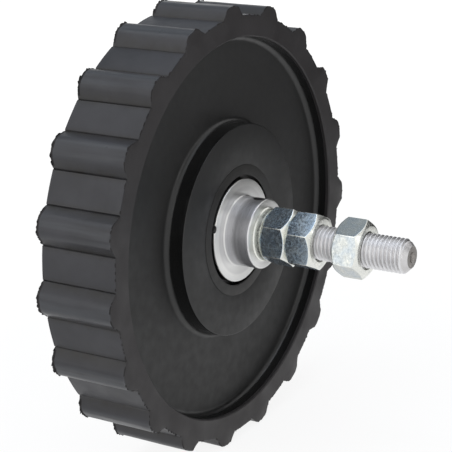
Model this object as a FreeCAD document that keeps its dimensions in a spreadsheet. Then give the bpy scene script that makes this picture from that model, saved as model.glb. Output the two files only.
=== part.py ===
import FreeCAD, Part
import math
import os
import re
import Sketcher

# Ribbed rubber-tyred roller of a root-crop harvester, on a stub axle with a threaded end.
# Row frame in millimetres: +Z up, the axle along Y, its threaded end towards -Y (the front).
# The origin is the wheel's centre, on the axle, midway between the tyre's two sides.

doc = FreeCAD.newDocument("HarvesterRoller")

driving_dimensions = [
    # tyre
    ("tread_radius", 100.0, "tyre between the ribs"),
    ("rib_height", 5.0, "rib above the tread"),
    ("rib_root_width", 16.8, "rib where it leaves the tread"),
    ("rib_crest_width", 7.6, "rib at its crest, before rounding"),
    ("rib_crest_rounding", 2.4, "radius along both edges of the crest"),
    ("rib_root_rounding", 1.2, "radius where the rib meets the tread"),
    ("rib_count", 19, "ribs round the tyre"),
    ("tread_rubber", 5.0, "rubber between the tread and the rim"),
    ("side_rubber", 2.0, "rubber over the rim's end faces"),
    # wheel disc
    ("rim_thickness", 5.0, "rim under the rubber"),
    ("dish_depth", 10.0, "web below the tyre's sides"),
    ("dish_rounding", 3.5, "fillet at both walls of the dish"),
    ("boss_wall", 19.0, "boss round the hub sleeve"),
    ("boss_edge", 0.5, "broken edge of the boss"),
    # hub sleeve and its circlip
    ("sleeve_wall", 5.0, "hub sleeve round the bearings"),
    ("shoulder_height", 3.0, "shoulder behind the rear bearing"),
    ("shoulder_width", 3.0, "shoulder along the axle"),
    ("bore_lead", 0.6, "lead-in at the mouth of the bearing bore"),
    ("circlip_inset", 3.0, "hub face to the circlip"),
    ("circlip_thickness", 2.0, "internal circlip"),
    ("circlip_side_gap", 0.15, "circlip to the front of its groove"),
    ("circlip_groove_depth", 1.5, "circlip groove below the bore"),
    ("circlip_clearance", 0.1, "circlip to the bottom of its groove"),
    ("circlip_band", 3.6, "radial width of the circlip"),
    ("circlip_opening", 6.0, "opening between the circlip's lugs"),
    ("circlip_lug_radius", 2.6, "rounded lug"),
    ("circlip_hole_radius", 1.25, "plier hole in each lug"),
    # two sealed deep-groove ball bearings
    ("bearing_radius", 26.0, "outer ring outside"),
    ("bearing_width", 15.0, "one bearing"),
    ("bearing_corner", 0.8, "corner of both rings"),
    ("journal_radius", 10.0, "inner ring bore, axle journal"),
    ("land_offset", 3.2, "ball circle to the lands of both rings"),
    ("ball_radius", 4.7625, "ball"),
    ("ball_clearance", 0.05, "ball to track"),
    ("ball_count", 7, "balls in one bearing"),
    ("cage_thickness", 2.8, "cage, inside to outside"),
    ("cage_side_gap", 0.2, "cage to the seals"),
    ("pocket_clearance", 0.2, "ball to cage pocket"),
    ("seal_step", 0.8, "step in the outer ring that holds the seal"),
    ("seal_seat_depth", 1.5, "ring face to the floor of the step"),
    ("seal_thickness", 1.0, "seal disc"),
    ("seal_lip_clearance", 0.08, "seal lip to inner ring"),
    # axle
    ("abutment_height", 4.0, "collar and spacer land, above the journal"),
    ("collar_width", 3.5, "collar along the axle"),
    ("journal_pilot", 3.0, "journal in front of the bearings, centres the spacer"),
    ("journal_edge", 0.8, "chamfers on journal and collar"),
    ("relief_depth", 1.3, "thread relief below the thread's crests"),
    ("relief_width", 4.0, "thread relief along the axle"),
    ("stud_radius", 8.0, "M16 thread, over its crests"),
    ("stud_reach", 89.0, "tyre side to the stud's tip"),
    ("stud_chamfer", 3.0, "chamfer at the stud's tip"),
    ("centre_drill_mouth", 2.6, "centre hole, radius at the stud's end face"),
    ("centre_drill_pilot", 1.0, "pilot radius of the centre hole"),
    ("centre_drill_depth", 5.0, "centre hole, end face to bottom"),
    # flanged spacer
    ("flange_gap", 0.9, "flange edge to the bearing bore"),
    ("flange_proud", 1.8, "flange in front of the hub face"),
    ("flange_chamfer", 0.5, "flange edge"),
    ("land_length", 3.0, "flange to the inner ring"),
    ("neck_radius", 16.3, "neck outside"),
    ("neck_length", 12.8, "neck in front of the flange"),
    ("neck_chamfer", 0.7, "front edge of the neck"),
    ("spacer_clearance", 0.3, "spacer bore round the stud"),
    ("pilot_clearance", 0.1, "spacer counterbore round the journal"),
    ("pilot_end_gap", 0.5, "journal end to the counterbore's floor"),
    ("tommy_hole_radius", 2.0, "radial hole in the neck"),
    ("tommy_hole_inset", 5.3, "neck's front face to the radial hole"),
    # washer and nuts
    ("washer_radius", 12.2, "spring lock washer outside"),
    ("washer_thickness", 3.5, "spring lock washer"),
    ("washer_clearance", 0.2, "washer bore round the stud"),
    ("washer_edge", 0.6, "chamfer along the washer's outer edges"),
    ("washer_slit", 1.6, "split in the washer"),
    ("nut_flats", 24.0, "M16 nut across flats"),
    ("nut_height", 13.0, "M16 nut"),
    ("nut_face_inset", 0.7, "nut's flats to its round end face"),
    ("nut_chamfer_angle", 30.0, "chamfer on the nut's corners"),
    ("nut_clearance", 0.05, "nut bore round the stud"),
    ("nut_countersink", 0.9, "countersink at both ends of the nut's bore"),
    ("bracket_gap", 10.6, "room for the carrying plate between the outer two nuts"),
    ("bearing_nut_turn", 27.3, "corner above +X, in degrees"),
    ("seat_nut_turn", 34.3, "corner above +X, in degrees"),
    ("clamp_nut_turn", 19.3, "corner above +X, in degrees"),
    # dust cap behind the axle
    ("cap_sheet", 1.2, "pressed sheet"),
    ("cap_skirt_gap", 0.4, "skirt to the rear bearing"),
    ("cap_brim_width", 3.0, "brim on the sleeve's rear face"),
    ("cap_clearance", 2.8, "axle's end to the inside of the dome"),
    ("cap_crown_inset", 2.6, "opening of the sleeve to the flat of the dome"),
    ("cap_wall_run", 2.0, "slope of the dome's wall, in plan"),
]

# Sizes that follow from the driving ones, and places along the axle that several pieces share
derived_dimensions = [
    ("wheel_width", "circlip_inset + circlip_thickness + 2 * bearing_width + shoulder_width", "side to side"),
    ("rim_radius", "tread_radius - tread_rubber", "rim that the rubber is bonded to"),
    ("dish_radius", "rim_radius - rim_thickness", "outer wall of the dish"),
    ("web_side", "wheel_width / 2 - dish_depth", "middle plane to the web's face"),
    ("sleeve_radius", "bearing_radius + sleeve_wall", "hub sleeve outside"),
    ("boss_radius", "sleeve_radius + boss_wall", "boss outside"),
    ("opening_radius", "bearing_radius - shoulder_height", "opening behind the rear bearing"),
    ("circlip_radius", "bearing_radius + circlip_groove_depth - circlip_clearance", "circlip outside"),
    ("pitch_radius", "(bearing_radius + journal_radius) / 2", "circle through the ball centres"),
    ("track_radius", "ball_radius + ball_clearance", "section of both ball tracks"),
    ("inner_land_radius", "pitch_radius - land_offset", "inner ring outside"),
    ("outer_land_radius", "pitch_radius + land_offset", "outer ring inside"),
    ("seal_seat_radius", "outer_land_radius + seal_step", "seal outside"),
    ("seal_seat_side", "bearing_width / 2 - seal_seat_depth", "bearing's middle to the seal"),
    ("abutment_radius", "journal_radius + abutment_height", "collar and spacer land"),
    ("relief_radius", "stud_radius - relief_depth", "bottom of the thread relief"),
    ("flange_radius", "bearing_radius - flange_gap", "turned flange that shields the bearings"),
    ("nut_face_radius", "nut_flats / 2 - nut_face_inset", "round end face of a nut"),
    ("hub_front", "-wheel_width / 2", "front side of tyre, boss and sleeve"),
    ("hub_rear", "wheel_width / 2", "rear side of tyre, boss and sleeve"),
    ("rings_front", "hub_front + circlip_inset + circlip_thickness", "front of the front bearing"),
    ("rings_rear", "rings_front + 2 * bearing_width", "rear of the rear bearing"),
    ("collar_rear", "rings_rear + collar_width", "rear end of the axle"),
    ("journal_end", "rings_front - journal_pilot", "front end of the journal"),
    ("stud_tip", "hub_front - stud_reach", "front end of the axle"),
    ("flange_front", "hub_front - flange_proud", "face of the flange"),
    ("neck_front", "flange_front - neck_length", "front end of the spacer"),
    ("washer_front", "neck_front - washer_thickness", "washer to bearing nut"),
    ("bearing_nut_front", "washer_front - nut_height", "bearing nut to seat nut"),
    ("seat_nut_front", "bearing_nut_front - nut_height", "seat for the carrying plate"),
]

sheet = doc.addObject("Spreadsheet::Sheet", "Sizes")
numbers = [(alias, str(number), note) for alias, number, note in driving_dimensions]
formulas = [(alias, "=" + formula, note) for alias, formula, note in derived_dimensions]
for line, (alias, content, note) in enumerate(numbers + formulas, 1):
    sheet.set(f"A{line}", alias.replace("_", " "))
    sheet.set(f"B{line}", content)
    sheet.setAlias(f"B{line}", alias)
    sheet.set(f"C{line}", note)
doc.recompute()
size = {alias: float(sheet.get(alias)) for alias, content, note in numbers + formulas}

subparts = []
near = 1e-4


def cells(expression):
    """Point every size named in the expression at its cell."""
    return re.sub("[a-z_]+", lambda word: "Sizes." + word[0] if word[0] in size else word[0], expression)


def tie(thing, setting, expression):
    thing.setExpression(setting, cells(expression))


def new_body(label):
    body = doc.addObject("PartDesign::Body", label)
    body.Label = label
    subparts.append(body)
    return body


def new_sketch(body, role):
    sketch = body.newObject("Sketcher::SketchObject", body.Label + "_sketch")
    plane = [item for item in body.Origin.OriginFeatures if item.Role == role][0]
    sketch.AttachmentSupport = (plane, [""])
    sketch.MapMode = "FlatFace"
    return sketch


def place_point(sketch, element, point, across, along):
    """Hold a point of the sketch at two distances from its origin."""
    for direction, expression in (("DistanceX", across), ("DistanceY", along)):
        rule = Sketcher.Constraint(direction, -1, 1, element, point, 0.0)
        number = sketch.addConstraint(rule)
        tie(sketch, f"Constraints[{number}]", expression)


def draw_outline(sketch, corners):
    """Closed outline of straight lines through corners given as pairs of expressions."""
    first = sketch.GeometryCount
    step = 2 * math.pi / len(corners)
    spots = [FreeCAD.Vector(math.cos(step * i), math.sin(step * i), 0) for i in range(len(corners))]
    for start, end in zip(spots, spots[1:] + spots[:1]):
        sketch.addGeometry(Part.LineSegment(start, end), False)
    for i in range(len(corners)):
        following = (i + 1) % len(corners)
        sketch.addConstraint(Sketcher.Constraint("Coincident", first + i, 2, first + following, 1))
    for i, (across, along) in enumerate(corners):
        place_point(sketch, first + i, 1, across, along)


def draw_circle(sketch, across, along, radius):
    circle = Part.Circle(FreeCAD.Vector(0, 0, 0), FreeCAD.Vector(0, 0, 1), 1.0)
    element = sketch.addGeometry(circle, False)
    place_point(sketch, element, 3, across, along)
    number = sketch.addConstraint(Sketcher.Constraint("Radius", element, 1.0))
    tie(sketch, f"Constraints[{number}]", radius)


def turn(body, sketch, kind):
    """Revolve the sketch about the axle: kind is Revolution to add, Groove to cut."""
    feature = body.newObject("PartDesign::" + kind, body.Label + "_turning")
    feature.Profile = sketch
    feature.ReferenceAxis = (sketch, ["V_Axis"])
    feature.Angle = 360
    return feature


def turned_body(label, corners):
    """Body turned about the axle; each corner is (radius, place along the axle)."""
    body = new_body(label)
    section = new_sketch(body, "XY_Plane")
    draw_outline(section, corners)
    turn(body, section, "Revolution")
    return body


def both_sides(rear_half):
    """Complete an outline that is the same in front of and behind its middle plane."""
    return rear_half + [(radius, f"-({place})") for radius, place in reversed(rear_half)]


def cut_grooves(body, outlines):
    section = new_sketch(body, "XY_Plane")
    for corners in outlines:
        draw_outline(section, corners)
    return turn(body, section, "Groove")


def extrude(body, sketch, kind, length, backwards=False, centred=False):
    """Pad or Pocket of the sketch, its length tied to the sizes."""
    feature = body.newObject("PartDesign::" + kind, body.Label + "_" + kind.lower())
    feature.Profile = sketch
    feature.Reversed = backwards
    feature.SideType = "Symmetric" if centred else "One side"
    tie(feature, "Length", length)
    return feature


def repeat_round_axle(body, feature, count):
    pattern = body.newObject("PartDesign::PolarPattern", body.Label + "_pattern")
    pattern.Originals = [feature]
    axle = [item for item in body.Origin.OriginFeatures if item.Role == "Y_Axis"][0]
    pattern.Axis = (axle, [""])
    pattern.Angle = 360
    tie(pattern, "Occurrences", count)
    body.Tip = pattern
    return pattern


def round_edges(body, radius, chosen):
    """Fillet of the body's tip along the edges that chosen(edge) picks."""
    doc.recompute()
    base = body.Tip
    picked = [f"Edge{i}" for i, edge in enumerate(base.Shape.Edges, 1) if chosen(edge, base.Shape)]
    fillet = body.newObject("PartDesign::Fillet", body.Label + "_fillet")
    fillet.Base = (base, picked)
    tie(fillet, "Radius", radius)
    return fillet


def is_ring(edge, radius, place):
    """Is this edge a circle round the axle, of this radius and at this place along it?"""
    curve = edge.Curve
    if not isinstance(curve, Part.Circle):
        return False
    return abs(curve.Radius - radius) < near and abs(curve.Center.y - place) < near


def runs_across(edge, shape, radius):
    """Is this a corner between two faces that runs side to side at this distance from the axle?"""
    if not isinstance(edge.Curve, Part.Line):
        return False
    start, end = edge.Vertexes[0].Point, edge.Vertexes[-1].Point
    level = abs(math.hypot(start.x, start.z) - radius) < near
    straight = abs(start.x - end.x) < near and abs(start.z - end.z) < near
    return level and straight and len(shape.ancestorsOfType(edge, Part.Face)) == 2


def slide_to(body, place):
    tie(body, "Placement.Base.y", place)


def turn_to(body, degrees):
    """Turn the body about the axle, +X towards +Z."""
    body.Placement.Rotation = FreeCAD.Rotation(FreeCAD.Vector(0, -1, 0), 1.0)
    tie(body, "Placement.Rotation.Angle", degrees)


def rubber_tyre():
    """Bonded tyre: its sides wrap the rim's end faces, straight ribs cross its tread."""
    body = turned_body("rubber_tyre", both_sides([
        ("rim_radius", "hub_rear - side_rubber"),
        ("dish_radius", "hub_rear - side_rubber"),
        ("dish_radius", "hub_rear"),
        ("tread_radius", "hub_rear"),
    ]))
    rib_foot = "-sqrt(tread_radius * tread_radius - rib_root_width * rib_root_width / 4)"
    rib_top = "-tread_radius - rib_height"
    section = new_sketch(body, "XZ_Plane")
    draw_outline(section, [
        ("-rib_root_width / 2", rib_foot),
        ("rib_root_width / 2", rib_foot),
        ("rib_crest_width / 2", rib_top),
        ("-rib_crest_width / 2", rib_top),
    ])
    rib = extrude(body, section, "Pad", "wheel_width", centred=True)
    repeat_round_axle(body, rib, "rib_count")
    crest_radius = math.hypot(size["tread_radius"] + size["rib_height"], size["rib_crest_width"] / 2)
    round_edges(body, "rib_crest_rounding", lambda edge, shape: runs_across(edge, shape, crest_radius))
    round_edges(body, "rib_root_rounding", lambda edge, shape: runs_across(edge, shape, size["tread_radius"]))
    # Half a pitch round, so that the wheel stands on two ribs
    turn_to(body, "180 / rib_count")


def wheel_disc():
    """Rim, dished web and boss in one piece, the same on both sides."""
    body = turned_body("wheel_disc", both_sides([
        ("sleeve_radius", "hub_rear"),
        ("boss_radius - boss_edge", "hub_rear"),
        ("boss_radius", "hub_rear - boss_edge"),
        ("boss_radius", "web_side"),
        ("dish_radius", "web_side"),
        ("dish_radius", "hub_rear - side_rubber"),
        ("rim_radius", "hub_rear - side_rubber"),
    ]))
    walls = [size["boss_radius"], size["dish_radius"]]
    corners = [(wall, side) for wall in walls for side in (-size["web_side"], size["web_side"])]
    round_edges(body, "dish_rounding", lambda edge, shape: any(is_ring(edge, *corner) for corner in corners))


def hub_sleeve():
    """Machined sleeve pressed into the boss: bearing bore, circlip groove, rear shoulder."""
    groove_radius = "bearing_radius + circlip_groove_depth"
    groove_front = "hub_front + circlip_inset - circlip_side_gap"
    turned_body("hub_sleeve", [
        ("bearing_radius + bore_lead", "hub_front"),
        ("sleeve_radius", "hub_front"),
        ("sleeve_radius", "hub_rear"),
        ("opening_radius", "hub_rear"),
        ("opening_radius", "rings_rear"),
        ("bearing_radius", "rings_rear"),
        ("bearing_radius", "rings_front"),
        (groove_radius, "rings_front"),
        (groove_radius, groove_front),
        ("bearing_radius", groove_front),
        ("bearing_radius", "hub_front + bore_lead"),
    ])


def bearing_circlip():
    """Internal circlip in front of the bearings, its lugs and opening at the bottom."""
    body = new_body("bearing_circlip")
    inner = "circlip_radius - circlip_band"
    lug_side = "circlip_opening / 2 + circlip_lug_radius"
    lug_level = "-(circlip_radius - circlip_band - circlip_lug_radius / 2)"
    band = new_sketch(body, "XZ_Plane")
    draw_circle(band, "0", "0", "circlip_radius")
    draw_circle(band, "0", "0", inner)
    extrude(body, band, "Pad", "circlip_thickness", backwards=True)
    for side in (lug_side, f"-({lug_side})"):
        lug = new_sketch(body, "XZ_Plane")
        draw_circle(lug, side, lug_level, "circlip_lug_radius")
        extrude(body, lug, "Pad", "circlip_thickness", backwards=True)
    opening = new_sketch(body, "XZ_Plane")
    draw_outline(opening, [
        ("-circlip_opening / 2", "-circlip_radius - circlip_band"),
        ("circlip_opening / 2", "-circlip_radius - circlip_band"),
        ("circlip_opening / 2", "-circlip_radius / 2"),
        ("-circlip_opening / 2", "-circlip_radius / 2"),
    ])
    extrude(body, opening, "Pocket", "circlip_thickness")
    holes = new_sketch(body, "XZ_Plane")
    for side in (lug_side, f"-({lug_side})"):
        draw_circle(holes, side, lug_level, "circlip_hole_radius")
    extrude(body, holes, "Pocket", "circlip_thickness")
    slide_to(body, "hub_front + circlip_inset")


def cut_track(body):
    """Ball track: a groove of round section on the pitch circle."""
    section = new_sketch(body, "XY_Plane")
    draw_circle(section, "pitch_radius", "0", "track_radius")
    turn(body, section, "Groove")


def bearing_rings(place, middle):
    side = "bearing_width / 2"
    outer = turned_body(f"{place}_bearing_outer_ring", both_sides([
        ("outer_land_radius", "seal_seat_side"),
        ("seal_seat_radius", "seal_seat_side"),
        ("seal_seat_radius", side),
        ("bearing_radius - bearing_corner", side),
        ("bearing_radius", f"{side} - bearing_corner"),
    ]))
    inner = turned_body(f"{place}_bearing_inner_ring", both_sides([
        ("inner_land_radius", side),
        ("journal_radius + bearing_corner", side),
        ("journal_radius", f"{side} - bearing_corner"),
    ]))
    for ring in (outer, inner):
        cut_track(ring)
        slide_to(ring, middle)


def bearing_cage(place, middle):
    """Solid cage with a round pocket for each ball."""
    body = turned_body(f"{place}_bearing_cage", both_sides([
        ("pitch_radius - cage_thickness / 2", "seal_seat_side - cage_side_gap"),
        ("pitch_radius + cage_thickness / 2", "seal_seat_side - cage_side_gap"),
    ]))
    mouth = new_sketch(body, "XY_Plane")
    draw_circle(mouth, "0", "0", "ball_radius + pocket_clearance")
    pocket = extrude(body, mouth, "Pocket", "bearing_radius", backwards=True)
    repeat_round_axle(body, pocket, "ball_count")
    slide_to(body, middle)


def bearing_balls(place, middle):
    """The balls of one bearing, one in each pocket of its cage."""
    balls = []
    for number in range(int(size["ball_count"])):
        ball = doc.addObject("Part::Sphere", f"{place}_ball")
        tie(ball, "Radius", "ball_radius")
        tie(ball, "Placement.Base.x", f"pitch_radius * sin(360 * {number} / ball_count)")
        tie(ball, "Placement.Base.y", middle)
        tie(ball, "Placement.Base.z", f"pitch_radius * cos(360 * {number} / ball_count)")
        balls.append(ball)
    group = doc.addObject("Part::Compound", f"{place}_bearing_balls")
    group.Label = f"{place}_bearing_balls"
    group.Links = balls
    subparts.append(group)


def bearing_seal(label, inner_face):
    """Rubber seal held in the outer ring, its lip just clear of the inner ring."""
    body = turned_body(label, [
        ("inner_land_radius + seal_lip_clearance", "0"),
        ("seal_seat_radius", "0"),
        ("seal_seat_radius", "seal_thickness"),
        ("inner_land_radius + seal_lip_clearance", "seal_thickness"),
    ])
    slide_to(body, inner_face)


def ball_bearing(place, middle):
    bearing_rings(place, middle)
    bearing_cage(place, middle)
    bearing_balls(place, middle)
    bearing_seal(f"{place}_bearing_front_seal", f"{middle} - seal_seat_side - seal_thickness")
    bearing_seal(f"{place}_bearing_rear_seal", f"{middle} + seal_seat_side")


def axle_stud():
    """Turned stub axle: rear collar, journal for both bearings, long M16 stud."""
    body = turned_body("axle_stud", [
        ("0", "collar_rear"),
        ("abutment_radius - journal_edge", "collar_rear"),
        ("abutment_radius", "collar_rear - journal_edge"),
        ("abutment_radius", "rings_rear"),
        ("journal_radius", "rings_rear"),
        ("journal_radius", "journal_end + journal_edge"),
        ("journal_radius - journal_edge", "journal_end"),
        ("relief_radius", "journal_end"),
        ("relief_radius", "journal_end - relief_width"),
        ("stud_radius", "journal_end - relief_width - relief_depth"),
        ("stud_radius", "stud_tip + stud_chamfer"),
        ("stud_radius - stud_chamfer", "stud_tip"),
        ("0", "stud_tip"),
    ])
    # The centre hole widens at 60 degrees
    cone = "(centre_drill_mouth - centre_drill_pilot) * sqrt(3)"
    cut_grooves(body, [[
        ("0", "stud_tip"),
        ("centre_drill_mouth", "stud_tip"),
        ("centre_drill_pilot", f"stud_tip + {cone}"),
        ("centre_drill_pilot", "stud_tip + centre_drill_depth"),
        ("0", "stud_tip + centre_drill_depth"),
    ]])


def flanged_spacer():
    """Turned spacer: land on the inner ring, flange over the bearing bore, long neck."""
    flange_rear = "rings_front - land_length"
    pilot_floor = "journal_end - pilot_end_gap"
    body = turned_body("flanged_spacer", [
        ("stud_radius + spacer_clearance", "neck_front"),
        ("neck_radius - neck_chamfer", "neck_front"),
        ("neck_radius", "neck_front + neck_chamfer"),
        ("neck_radius", "flange_front"),
        ("flange_radius - flange_chamfer", "flange_front"),
        ("flange_radius", "flange_front + flange_chamfer"),
        ("flange_radius", flange_rear),
        ("abutment_radius", flange_rear),
        ("abutment_radius", "rings_front"),
        ("journal_radius + pilot_clearance", "rings_front"),
        ("journal_radius + pilot_clearance", pilot_floor),
        ("stud_radius + spacer_clearance", pilot_floor),
    ])
    hole = new_sketch(body, "XY_Plane")
    draw_circle(hole, "0", "neck_front + tommy_hole_inset", "tommy_hole_radius")
    extrude(body, hole, "Pocket", "2 * neck_radius", backwards=True)


def spring_lock_washer():
    """Heavy split washer, clamped flat, its split underneath."""
    body = turned_body("spring_lock_washer", [
        ("stud_radius + washer_clearance", "0"),
        ("washer_radius - washer_edge", "0"),
        ("washer_radius", "washer_edge"),
        ("washer_radius", "washer_thickness - washer_edge"),
        ("washer_radius - washer_edge", "washer_thickness"),
        ("stud_radius + washer_clearance", "washer_thickness"),
    ])
    split = new_sketch(body, "XZ_Plane")
    draw_outline(split, [
        ("-washer_slit / 2", "-washer_radius - washer_slit"),
        ("washer_slit / 2", "-washer_radius - washer_slit"),
        ("washer_slit / 2", "-stud_radius / 2"),
        ("-washer_slit / 2", "-stud_radius / 2"),
    ])
    extrude(body, split, "Pocket", "washer_thickness")
    slide_to(body, "washer_front")


def hexagon_nut(label, rear_face, corner_turn):
    """M16 nut, chamfered at 30 degrees on both faces, its bore smooth over the thread's crests."""
    body = new_body(label)
    corner = "nut_flats / sqrt(3)"
    hexagon = new_sketch(body, "XZ_Plane")
    draw_outline(hexagon, [
        (corner, "0"),
        (f"{corner} / 2", "nut_flats / 2"),
        (f"-{corner} / 2", "nut_flats / 2"),
        (f"-{corner}", "0"),
        (f"-{corner} / 2", "-nut_flats / 2"),
        (f"{corner} / 2", "-nut_flats / 2"),
    ])
    extrude(body, hexagon, "Pad", "nut_height")
    beyond = f"({corner} * 2)"
    fall = f"(({beyond} - nut_face_radius) * tan(nut_chamfer_angle))"
    cut_grooves(body, [
        [("nut_face_radius", "0"), (beyond, "0"), (beyond, f"-{fall}")],
        [
            ("nut_face_radius", "-nut_height"),
            (beyond, f"-nut_height + {fall}"),
            (beyond, "-nut_height"),
        ],
    ])
    bore = "stud_radius + nut_clearance"
    cut_grooves(body, [[
        ("0", "0"),
        (f"{bore} + nut_countersink", "0"),
        (bore, "-nut_countersink"),
        (bore, "-nut_height + nut_countersink"),
        (f"{bore} + nut_countersink", "-nut_height"),
        ("0", "-nut_height"),
    ]])
    turn_to(body, corner_turn)
    slide_to(body, rear_face)


def dust_cap():
    """Pressed cap that closes the sleeve behind the axle: skirt, brim and low dome."""
    crown_radius = "opening_radius - cap_crown_inset"
    crown_inside = "collar_rear + cap_clearance"
    turned_body("dust_cap", [
        ("0", f"{crown_inside} + cap_sheet"),
        (crown_radius, f"{crown_inside} + cap_sheet"),
        (f"{crown_radius} + cap_wall_run", "hub_rear + cap_sheet"),
        ("opening_radius + cap_brim_width", "hub_rear + cap_sheet"),
        ("opening_radius + cap_brim_width", "hub_rear"),
        ("opening_radius", "hub_rear"),
        ("opening_radius", "rings_rear + cap_skirt_gap"),
        ("opening_radius - cap_sheet", "rings_rear + cap_skirt_gap"),
        ("opening_radius - cap_sheet", "hub_rear"),
        (f"{crown_radius} - cap_sheet / 2", crown_inside),
        ("0", crown_inside),
    ])


rubber_tyre()
wheel_disc()
hub_sleeve()
bearing_circlip()
ball_bearing("front", "rings_front + bearing_width / 2")
ball_bearing("rear", "rings_rear - bearing_width / 2")
dust_cap()
axle_stud()
flanged_spacer()
spring_lock_washer()
hexagon_nut("bearing_nut", "washer_front", "bearing_nut_turn")
hexagon_nut("seat_nut", "bearing_nut_front", "seat_nut_turn")
hexagon_nut("clamp_nut", "seat_nut_front - bracket_gap", "clamp_nut_turn")
doc.recompute()

for item in doc.Objects:
    if "Invalid" in item.State or "Error" in item.State:
        raise RuntimeError(f"{item.Label} did not build: {item.State}")
os.makedirs("parts", exist_ok=True)
for subpart in subparts:
    shape = subpart.Shape
    if shape.isNull() or not shape.isValid():
        raise RuntimeError(f"{subpart.Label} has no valid shape")
for subpart in subparts:
    subpart.Shape.exportStep(f"parts/{subpart.Label}.step")
    print(f"{subpart.Label}: {len(subpart.Shape.Solids)} solid, {subpart.Shape.Volume:.1f} mm3")
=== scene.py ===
# Ribbed roller of a root-crop harvester: its looks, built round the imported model.
# The dictionaries hold millimetres and degrees, the meshes hold metres.
# The axle runs along Y, its thread towards -Y. Angles round it start at +X and grow towards +Z.
import math

import bmesh
import bpy
from mathutils import Matrix, Vector, noise


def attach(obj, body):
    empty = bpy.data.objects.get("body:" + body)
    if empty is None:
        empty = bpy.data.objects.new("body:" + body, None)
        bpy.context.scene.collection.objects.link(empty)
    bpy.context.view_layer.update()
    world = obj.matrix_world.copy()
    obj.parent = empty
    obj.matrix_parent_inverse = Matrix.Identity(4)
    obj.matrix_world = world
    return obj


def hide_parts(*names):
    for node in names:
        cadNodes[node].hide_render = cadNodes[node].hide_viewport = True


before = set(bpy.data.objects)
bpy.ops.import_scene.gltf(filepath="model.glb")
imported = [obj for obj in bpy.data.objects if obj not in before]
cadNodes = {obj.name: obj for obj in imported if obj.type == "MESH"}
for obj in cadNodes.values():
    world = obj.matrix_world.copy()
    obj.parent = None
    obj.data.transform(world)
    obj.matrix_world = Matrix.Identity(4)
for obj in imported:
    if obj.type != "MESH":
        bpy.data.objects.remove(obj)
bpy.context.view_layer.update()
mm = 0.001
print("model loaded:", len(cadNodes), "nodes")


# Meshes

def onAxle(radius, angle, along):
    return Vector((radius * math.cos(angle), along, radius * math.sin(angle))) * mm


def whereIs(vert):
    radius = math.hypot(vert.co.x, vert.co.z) / mm
    return radius, math.atan2(vert.co.z, vert.co.x), vert.co.y / mm


def cornersIn(items):
    return [item for item in items if isinstance(item, bmesh.types.BMVert)]


def swing(bm, corners, angle):
    # turns corners round the axle, the angle in radians
    bmesh.ops.rotate(bm, verts=corners, cent=(0, 0, 0), matrix=Matrix.Rotation(-angle, 3, "Y"))


def weld(bm, within=0.001):
    bmesh.ops.remove_doubles(bm, verts=bm.verts[:], dist=within * mm)


def growLoop(bm, loop, place):
    # extrudes a loop of edges, each new corner goes to the (radius, along) that place gives for it
    made = bmesh.ops.extrude_edge_only(bm, edges=loop)["geom"]
    for vert in cornersIn(made):
        radius, along = place(vert)
        vert.co = onAxle(radius, whereIs(vert)[1], along)
    return [item for item in made if isinstance(item, bmesh.types.BMEdge) and item.is_boundary]


def turnedShape(profile, steps):
    # profile: (radius, along, rounding), turned once round the axle
    bm = bmesh.new()
    verts = [bm.verts.new((radius * mm, along * mm, 0)) for radius, along, rounding in profile]
    closed = profile[0][0] > 0 and profile[-1][0] > 0
    for start, end in zip(verts, verts[1:] + verts[:1] if closed else verts[1:]):
        bm.edges.new((start, end))
    for size in sorted({rounding for radius, along, rounding in profile if rounding}):
        corners = [vert for vert, corner in zip(verts, profile) if corner[2] == size]
        # broken edges need two faces, real fillets four
        bmesh.ops.bevel(bm, geom=corners, offset=size * mm, segments=4 if size > 0.6 else 2, profile=0.5,
                        affect="VERTICES", material=-1)
    bmesh.ops.spin(bm, geom=bm.verts[:] + bm.edges[:], cent=(0, 0, 0), axis=(0, 1, 0), angle=math.tau,
                   steps=steps, use_merge=True)
    weld(bm)
    return bm


def addToScene(name, data):
    thing = bpy.data.objects.new(name, data)
    bpy.context.scene.collection.objects.link(thing)
    return thing


def meshObject(bm, name):
    mesh = bpy.data.meshes.new(name)
    bm.to_mesh(mesh)
    bm.free()
    return addToScene(name, mesh)


def cutAway(bm, cutter):
    # takes the cutter's volume out of the shape
    solids = []
    for shape in (bm, cutter):
        bmesh.ops.recalc_face_normals(shape, faces=shape.faces[:])
        solids.append(meshObject(shape, "cutting"))
    cut = solids[0].modifiers.new("cut", "BOOLEAN")
    cut.operation, cut.solver, cut.object = "DIFFERENCE", "EXACT", solids[1]
    result = bmesh.new()
    result.from_object(solids[0], bpy.context.evaluated_depsgraph_get())
    for solid in solids:
        bpy.data.objects.remove(solid)
    return result


def finishPiece(bm, name, body, node, finishes, sharpOver=32):
    # edges that turn more than sharpOver degrees stay crisp, the rest is shaded smooth
    bmesh.ops.recalc_face_normals(bm, faces=bm.faces[:])
    for face in bm.faces:
        face.smooth = True
    for edge in bm.edges:
        edge.smooth = len(edge.link_faces) == 2 and edge.calc_face_angle(0) < math.radians(sharpOver)
    piece = meshObject(bm, name)
    for finish in finishes:
        piece.data.materials.append(finish)
    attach(piece, body)
    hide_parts(node)
    print(name, "has", len(piece.data.polygons), "faces")


# Nodes that the finishes are built from

def addNode(tree, kind, sockets=None, **settings):
    made = tree.nodes.new(kind)
    for setting, value in settings.items():
        setattr(made, setting, value)
    for socket, value in (sockets or {}).items():
        if isinstance(value, bpy.types.NodeSocket):
            tree.links.new(value, made.inputs[socket])
        else:
            made.inputs[socket].default_value = value
    return made


def calc(tree, operation, first, second=0.0):
    return addNode(tree, "ShaderNodeMath", {0: first, 1: second}, operation=operation).outputs[0]


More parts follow.
